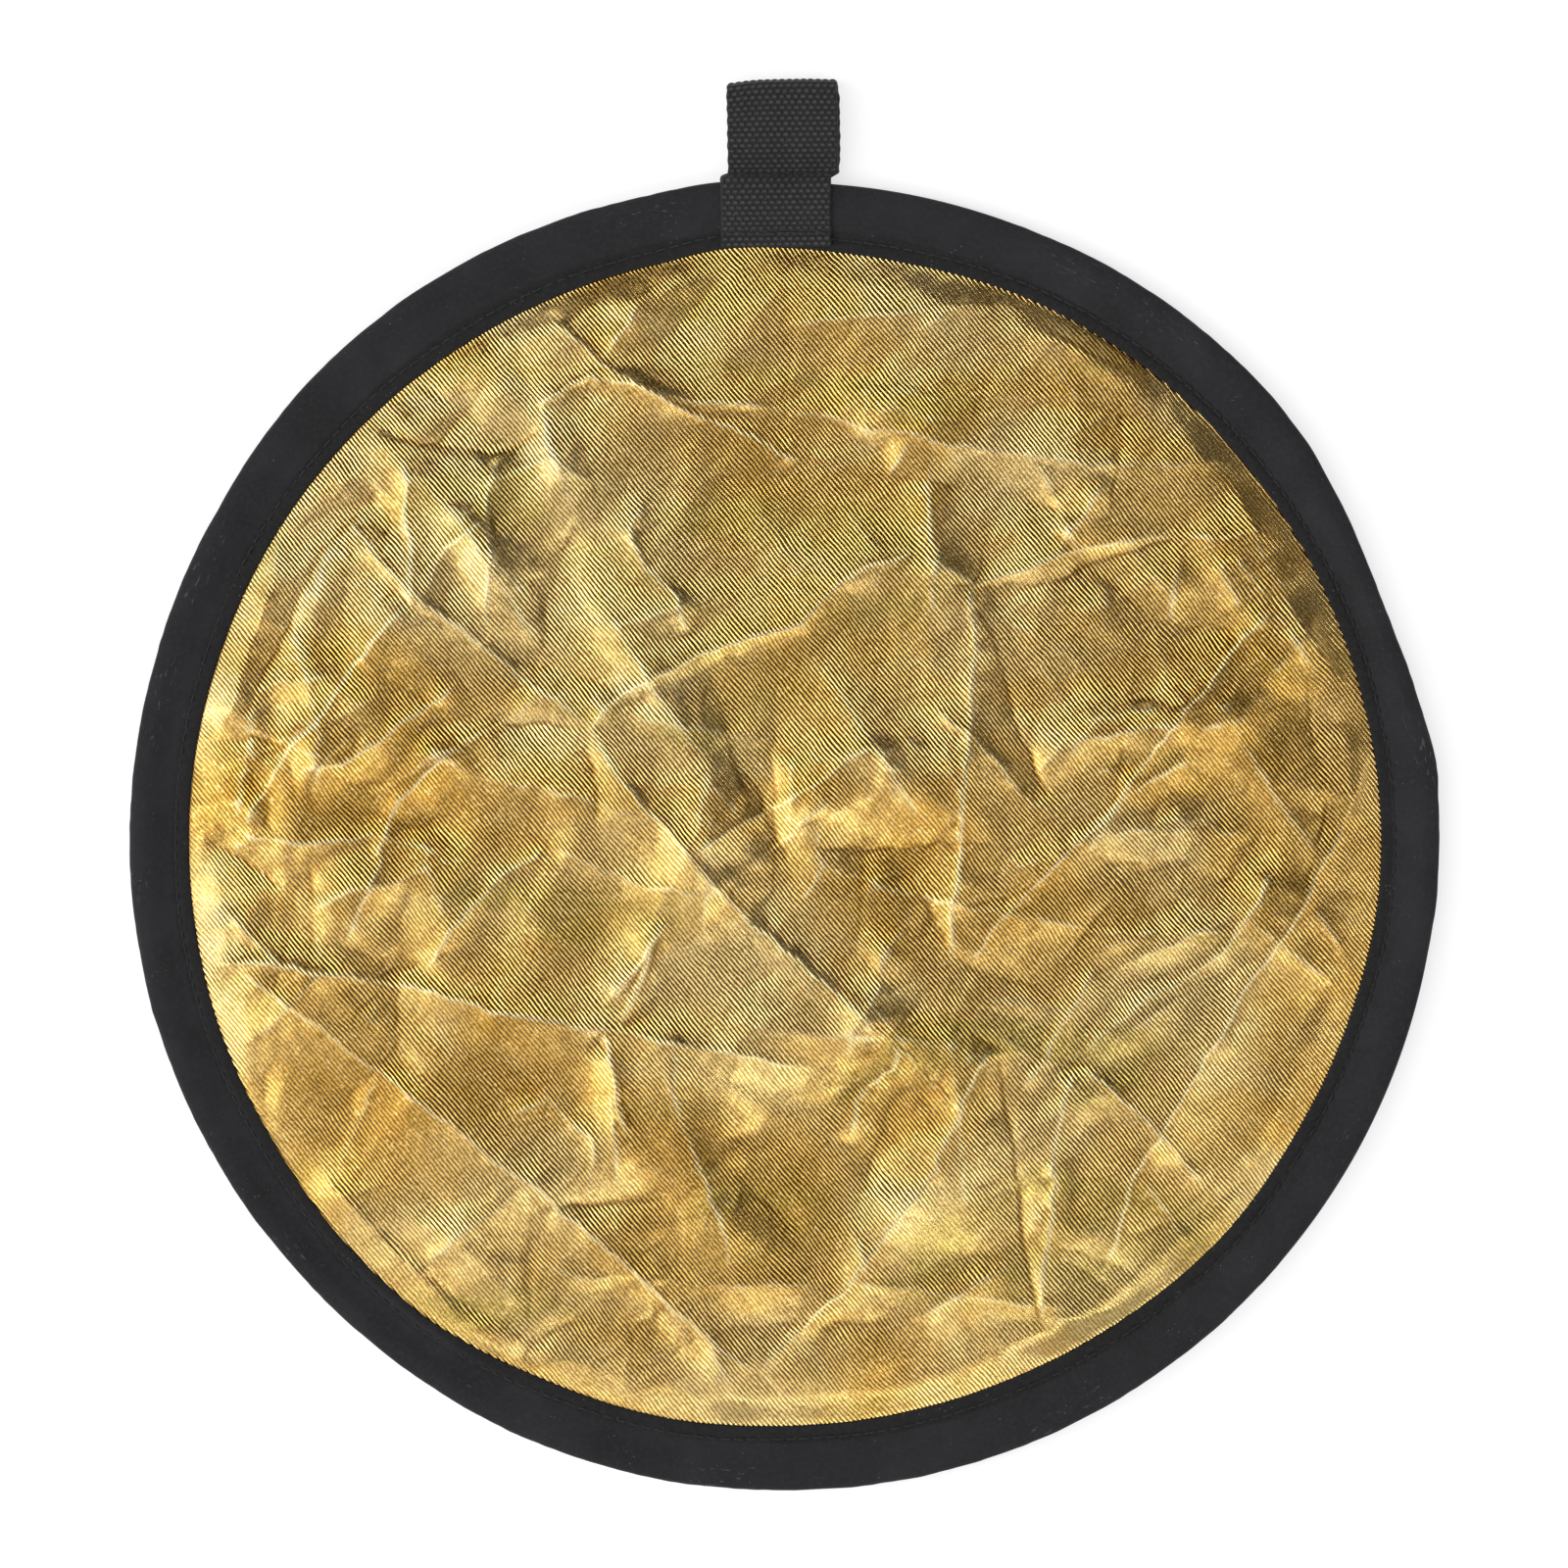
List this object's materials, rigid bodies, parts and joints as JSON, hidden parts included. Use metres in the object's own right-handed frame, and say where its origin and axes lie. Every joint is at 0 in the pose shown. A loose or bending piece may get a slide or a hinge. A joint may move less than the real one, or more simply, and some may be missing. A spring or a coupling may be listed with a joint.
{
  "type": "collapsible reflector disc",
  "caption": "Round two-sided collapsible light reflector: crumpled gold cloth and silver back on a spring hoop bound in black fabric, with a webbing hang loop.",
  "frame": {"origin": "centre of the hoop, in the middle of its thickness", "axes": "+Z the way the gold face looks, +Y towards the hang strap, +X to the right of it with the gold face up; lies flat in XY"},
  "size_m": [0.3, 0.3236, 0.0078],
  "materials": {
    "gold_cloth": "metallic gold foil-coated ribbed cloth",
    "silver_cloth": "metallic silver foil-coated ribbed cloth",
    "binding_cloth": "black polyester binding tape, slight sheen",
    "webbing": "black nylon basket-weave webbing",
    "seam_thread": "black polyester thread",
    "spring_steel": "tempered flat wire",
    "zinc_crimp": "dull zinc plate"
  },
  "bodies": {
    "arc_l00": {"rim_l00": "binding_cloth", "band_l00": "spring_steel", "gold_face": "gold_cloth", "silver_face": "silver_cloth", "seam_thread_front": "seam_thread", "seam_thread_back": "seam_thread"},
    "arc_l01": {"rim_l01": "binding_cloth", "band_l01": "spring_steel"},
    "arc_l02": {"rim_l02": "binding_cloth", "band_l02": "spring_steel"},
    "arc_l03": {"rim_l03": "binding_cloth", "band_l03": "spring_steel"},
    "arc_l04": {"rim_l04": "binding_cloth", "band_l04": "spring_steel"},
    "arc_l05": {"rim_l05": "binding_cloth", "band_l05": "spring_steel"},
    "arc_l06": {"rim_l06": "binding_cloth", "band_l06": "spring_steel"},
    "arc_l07": {"rim_l07": "binding_cloth", "band_l07": "spring_steel"},
    "arc_l08": {"rim_l08": "binding_cloth", "band_l08": "spring_steel"},
    "arc_l09": {"rim_l09": "binding_cloth", "band_l09": "spring_steel"},
    "arc_l10": {"rim_l10": "binding_cloth", "band_l10": "spring_steel"},
    "arc_l11": {"rim_l11": "binding_cloth", "band_l11": "spring_steel"},
    "arc_u00": {"rim_u00": "binding_cloth", "band_u00": "spring_steel"},
    "arc_u01": {"rim_u01": "binding_cloth", "band_u01": "spring_steel"},
    "arc_u02": {"rim_u02": "binding_cloth", "band_u02": "spring_steel"},
    "arc_u03": {"rim_u03": "binding_cloth", "band_u03": "spring_steel"},
    "arc_u04": {"rim_u04": "binding_cloth", "band_u04": "spring_steel"},
    "arc_u05": {"rim_u05": "binding_cloth", "band_u05": "spring_steel"},
    "arc_u06": {"rim_u06": "binding_cloth", "band_u06": "spring_steel", "strap_leaf_front": "webbing", "strap_leaf_back": "webbing", "strap_stitches": "seam_thread"},
    "arc_u07": {"rim_u07": "binding_cloth", "band_u07": "spring_steel"},
    "arc_u08": {"rim_u08": "binding_cloth", "band_u08": "spring_steel"},
    "arc_u09": {"rim_u09": "binding_cloth", "band_u09": "spring_steel"},
    "arc_u10": {"rim_u10": "binding_cloth", "band_u10": "spring_steel"},
    "arc_u11": {"rim_u11": "binding_cloth", "band_u11": "spring_steel", "band_ferrule": "zinc_crimp"},
    "strap_loop": {"strap_loop": "webbing"}
  },
  "joints": [
    {"name": "ring_twist", "type": "hinge", "parent": "arc_l00", "child": "arc_u00", "pos_m": [-0.15096, -0.01773, 0], "axis": [0.1167, -0.9932, 0], "range_deg": [0, 360], "stiffness_Nm_per_rad": 0.4, "deforming": ["gold_face", "silver_face", "seam_thread_front", "seam_thread_back"]},
    {"name": "bend_l01", "type": "hinge", "parent": "arc_l00", "child": "arc_l01", "pos_m": [-0.13146, -0.03406, 0], "axis": [0.0097, -0.0373, 0.9993], "range_deg": [0, 31.4]},
    {"name": "bend_l02", "type": "hinge", "parent": "arc_l01", "child": "arc_l02", "pos_m": [-0.11739, -0.06827, 0], "axis": [0.0194, -0.0333, 0.9993], "range_deg": [0, 31.4]},
    {"name": "bend_l03", "type": "hinge", "parent": "arc_l02", "child": "arc_l03", "pos_m": [-0.09462, -0.09741, 0], "axis": [0.0276, -0.0268, 0.9993], "range_deg": [0, 31.4]},
    {"name": "bend_l04", "type": "hinge", "parent": "arc_l03", "child": "arc_l04", "pos_m": [-0.06483, -0.11932, 0], "axis": [0.0339, -0.0184, 0.9993], "range_deg": [0, 31.4]},
    {"name": "bend_l05", "type": "hinge", "parent": "arc_l04", "child": "arc_l05", "pos_m": [-0.03024, -0.13239, 0], "axis": [0.0376, -0.0086, 0.9993], "range_deg": [0, 31.4]},
    {"name": "bend_l06", "type": "hinge", "parent": "arc_l05", "child": "arc_l06", "pos_m": [0.0066, -0.13564, 0], "axis": [0.0385, 0.0019, 0.9993], "range_deg": [0, 31.4]},
    {"name": "bend_l07", "type": "hinge", "parent": "arc_l06", "child": "arc_l07", "pos_m": [0.04295, -0.12883, 0], "axis": [0.0365, 0.0122, 0.9993], "range_deg": [0, 31.4]},
    {"name": "bend_l08", "type": "hinge", "parent": "arc_l07", "child": "arc_l08", "pos_m": [0.07612, -0.11246, 0], "axis": [0.0319, 0.0216, 0.9993], "range_deg": [0, 31.4]},
    {"name": "bend_l09", "type": "hinge", "parent": "arc_l08", "child": "arc_l09", "pos_m": [0.10364, -0.08776, 0], "axis": [0.0249, 0.0294, 0.9993], "range_deg": [0, 31.4]},
    {"name": "bend_l10", "type": "hinge", "parent": "arc_l09", "child": "arc_l10", "pos_m": [0.12347, -0.05654, 0], "axis": [0.016, 0.035, 0.9993], "range_deg": [0, 31.4]},
    {"name": "bend_l11", "type": "hinge", "parent": "arc_l10", "child": "arc_l11", "pos_m": [0.13415, -0.02113, 0], "axis": [0.006, 0.0381, 0.9993], "range_deg": [0, 31.4]},
    {"name": "bend_u01", "type": "hinge", "parent": "arc_u00", "child": "arc_u01", "pos_m": [-0.13577, 0.00267, 0], "axis": [0.0008, 0.0385, -0.9993], "range_deg": [0, 31.4]},
    {"name": "bend_u02", "type": "hinge", "parent": "arc_u01", "child": "arc_u02", "pos_m": [-0.13002, 0.0392, 0], "axis": [0.0111, 0.0369, -0.9993], "range_deg": [0, 31.4]},
    {"name": "bend_u03", "type": "hinge", "parent": "arc_u02", "child": "arc_u03", "pos_m": [-0.11462, 0.07283, 0], "axis": [0.0207, 0.0325, -0.9993], "range_deg": [0, 31.4]},
    {"name": "bend_u04", "type": "hinge", "parent": "arc_u03", "child": "arc_u04", "pos_m": [-0.09072, 0.10105, 0], "axis": [0.0287, 0.0257, -0.9993], "range_deg": [0, 31.4]},
    {"name": "bend_u05", "type": "hinge", "parent": "arc_u04", "child": "arc_u05", "pos_m": [-0.0601, 0.12178, 0], "axis": [0.0345, 0.017, -0.9993], "range_deg": [0, 31.4]},
    {"name": "bend_u06", "type": "hinge", "parent": "arc_u05", "child": "arc_u06", "pos_m": [-0.02501, 0.13348, 0], "axis": [0.0379, 0.0071, -0.9993], "range_deg": [0, 31.4]},
    {"name": "bend_u07", "type": "hinge", "parent": "arc_u06", "child": "arc_u07", "pos_m": [0.01193, 0.13528, 0], "axis": [0.0384, -0.0034, -0.9993], "range_deg": [0, 31.4]},
    {"name": "bend_u08", "type": "hinge", "parent": "arc_u07", "child": "arc_u08", "pos_m": [0.04798, 0.12704, 0], "axis": [0.036, -0.0136, -0.9993], "range_deg": [0, 31.4]},
    {"name": "bend_u09", "type": "hinge", "parent": "arc_u08", "child": "arc_u09", "pos_m": [0.08048, 0.10938, 0], "axis": [0.031, -0.0228, -0.9993], "range_deg": [0, 31.4]},
    {"name": "bend_u10", "type": "hinge", "parent": "arc_u09", "child": "arc_u10", "pos_m": [0.10701, 0.08361, 0], "axis": [0.0237, -0.0304, -0.9993], "range_deg": [0, 31.4]},
    {"name": "bend_u11", "type": "hinge", "parent": "arc_u10", "child": "arc_u11", "pos_m": [0.1256, 0.05164, 0], "axis": [0.0147, -0.0356, -0.9993], "range_deg": [0, 31.4]},
    {"name": "strap_flap", "type": "hinge", "parent": "arc_u06", "child": "strap_loop", "pos_m": [-0.00187, 0.15289, 0], "axis": [0.9999, 0.0122, 0], "range_deg": [-80, 65]}
  ],
  "couplings": [
    {"joint": "bend_l01", "follows": "ring_twist", "ratio": 0.086957},
    {"joint": "bend_l02", "follows": "ring_twist", "ratio": 0.086957},
    {"joint": "bend_l03", "follows": "ring_twist", "ratio": 0.086957},
    {"joint": "bend_l04", "follows": "ring_twist", "ratio": 0.086957},
    {"joint": "bend_l05", "follows": "ring_twist", "ratio": 0.086957},
    {"joint": "bend_l06", "follows": "ring_twist", "ratio": 0.086957},
    {"joint": "bend_l07", "follows": "ring_twist", "ratio": 0.086957},
    {"joint": "bend_l08", "follows": "ring_twist", "ratio": 0.086957},
    {"joint": "bend_l09", "follows": "ring_twist", "ratio": 0.086957},
    {"joint": "bend_l10", "follows": "ring_twist", "ratio": 0.086957},
    {"joint": "bend_l11", "follows": "ring_twist", "ratio": 0.086957},
    {"joint": "bend_u01", "follows": "ring_twist", "ratio": 0.086957},
    {"joint": "bend_u02", "follows": "ring_twist", "ratio": 0.086957},
    {"joint": "bend_u03", "follows": "ring_twist", "ratio": 0.086957},
    {"joint": "bend_u04", "follows": "ring_twist", "ratio": 0.086957},
    {"joint": "bend_u05", "follows": "ring_twist", "ratio": 0.086957},
    {"joint": "bend_u06", "follows": "ring_twist", "ratio": 0.086957},
    {"joint": "bend_u07", "follows": "ring_twist", "ratio": 0.086957},
    {"joint": "bend_u08", "follows": "ring_twist", "ratio": 0.086957},
    {"joint": "bend_u09", "follows": "ring_twist", "ratio": 0.086957},
    {"joint": "bend_u10", "follows": "ring_twist", "ratio": 0.086957},
    {"joint": "bend_u11", "follows": "ring_twist", "ratio": 0.086957}
  ]
}
